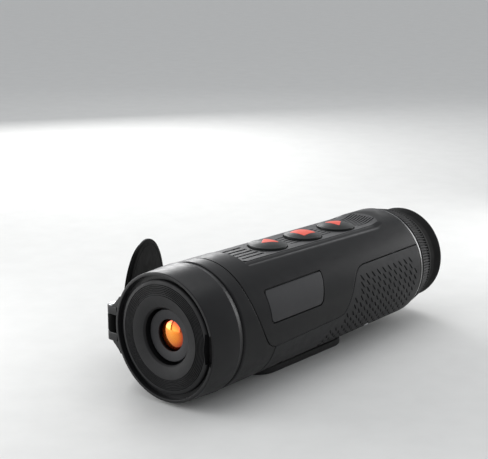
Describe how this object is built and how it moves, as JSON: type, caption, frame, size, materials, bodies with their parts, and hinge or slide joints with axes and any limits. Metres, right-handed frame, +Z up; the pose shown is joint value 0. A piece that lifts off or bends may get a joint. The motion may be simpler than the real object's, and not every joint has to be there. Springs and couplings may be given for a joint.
{
  "type": "thermal imaging monocular",
  "caption": "Handheld thermal monocular: round barrel with fold-back lens cover, coated objective, ribbed top deck with domed buttons, knurled diopter ring and rubber eyecup.",
  "frame": {"origin": "mouth of the tripod socket, in the flat face of the base pad", "axes": "+Z up out of the deck, +Y from the objective towards the eye, parallel to the optical axis; +X to the right of the user"},
  "size_m": [0.0927, 0.1908, 0.0623],
  "materials": {
    "casing": "fine matt charcoal",
    "grip": "matt charcoal with a scale texture",
    "bezel": "satin ridged black",
    "lens_cell": "black anodised",
    "coated_lens": "orange anti-reflection coating",
    "optic_glass": "clear optical glass",
    "detector_glass": "dark infrared window",
    "seal_rubber": "smooth",
    "inner_black": "matt black",
    "deck": "satin charcoal",
    "label": "satin blank plate",
    "eyecup_rubber": "soft matt rubber",
    "frame_metal": "cast light alloy",
    "brass": "turned brass",
    "ceramic": "gold-lidded ceramic package",
    "circuit_board": "green solder mask",
    "heatsink": "bare aluminium",
    "shield_can": "tin-plated sheet",
    "battery": "shrink-sleeved cell",
    "switch_plastic": "switch bodies",
    "display": "dark display",
    "pad_rubber": "matt rubber",
    "pin_steel": "polished steel",
    "screw_steel": "zinc-plated steel",
    "cover": "matt black",
    "button": "soft matt rubber",
    "symbol_red": "coral red inlay",
    "diopter": "knurled matt black",
    "shutter_blade": "matt black blade",
    "flap_rubber": "soft matt rubber"
  },
  "bodies": {
    "root": {"front_barrel": "casing", "front_bezel": "bezel", "lens_cell": "lens_cell", "cell_screws": "screw_steel", "front_lens": "coated_lens", "objective_oring": "seal_rubber", "lens_spacer": "inner_black", "rear_lens": "optic_glass", "lens_retainer": "inner_black", "barrel_seal": "seal_rubber", "front_collar": "casing", "upper_cover": "casing", "lower_housing": "grip", "deck_plate": "deck", "label_plate": "label", "rear_collar": "casing", "eyepiece_tube": "inner_black", "eyecup": "eyecup_rubber", "shutter_frame": "frame_metal", "shutter_solenoid": "brass", "detector_window": "detector_glass", "detector_package": "ceramic", "sensor_board": "circuit_board", "sensor_heatsink": "heatsink", "chassis": "frame_metal", "main_board": "circuit_board", "processor_shield": "shield_can", "battery_cell": "battery", "battery_cradle": "inner_black", "keypad_board": "circuit_board", "tact_switches": "switch_plastic", "display_board": "circuit_board", "display_module": "display", "display_shroud": "inner_black", "usb_port": "shield_can", "tripod_insert": "brass", "base_pad": "pad_rubber", "lanyard_bar": "pin_steel", "case_screws": "screw_steel", "cover_pin": "pin_steel"},
    "cover": {"lens_cover": "cover"},
    "button_up_body": {"button_up": "button", "symbol_up": "symbol_red"},
    "button_menu_body": {"button_menu": "button", "symbol_menu": "symbol_red"},
    "button_down_body": {"button_down": "button", "symbol_down": "symbol_red"},
    "diopter": {"diopter_ring": "diopter"},
    "eyepiece": {"eyepiece_cell": "inner_black", "eyepiece_lens_a": "optic_glass", "eyepiece_lens_b": "optic_glass"},
    "shutter": {"shutter_flag": "shutter_blade"},
    "port_flap": {"usb_flap": "flap_rubber"}
  },
  "joints": [
    {"name": "cover_hinge", "type": "hinge", "parent": "root", "child": "cover", "pos_m": [-0.0338, -0.0848, 0.0315], "axis": [0, 0, 1], "range_deg": [0, 242.4]},
    {"name": "press_up", "type": "slide", "parent": "root", "child": "button_up_body", "axis": [0, -0.0218, -0.9998], "range_m": [0, 0.0006], "stiffness_N_per_m": 2500, "springref_m": -0.0004},
    {"name": "press_menu", "type": "slide", "parent": "root", "child": "button_menu_body", "axis": [0, -0.0218, -0.9998], "range_m": [0, 0.0006], "stiffness_N_per_m": 2500, "springref_m": -0.0004},
    {"name": "press_down", "type": "slide", "parent": "root", "child": "button_down_body", "axis": [0, -0.0218, -0.9998], "range_m": [0, 0.0006], "stiffness_N_per_m": 2500, "springref_m": -0.0004},
    {"name": "diopter_turn", "type": "hinge", "parent": "root", "child": "diopter", "pos_m": [0, 0.0845, 0.0315], "axis": [0, 1, 0], "range_deg": [-60, 60]},
    {"name": "eyepiece_focus", "type": "slide", "parent": "root", "child": "eyepiece", "axis": [0, 1, 0], "range_m": [-0.0015, 0.0015]},
    {"name": "shutter_swing", "type": "hinge", "parent": "root", "child": "shutter", "pos_m": [0.0185, -0.0545, 0.0225], "axis": [0, -1, 0], "range_deg": [0, 48]},
    {"name": "flap_hinge", "type": "hinge", "parent": "root", "child": "port_flap", "pos_m": [-0.02919, -0.013, 0.0327], "axis": [0, -1, 0], "range_deg": [0, 85]}
  ],
  "couplings": [
    {"joint": "eyepiece_focus", "follows": "diopter_turn", "m_per_rad": 0.00143}
  ]
}
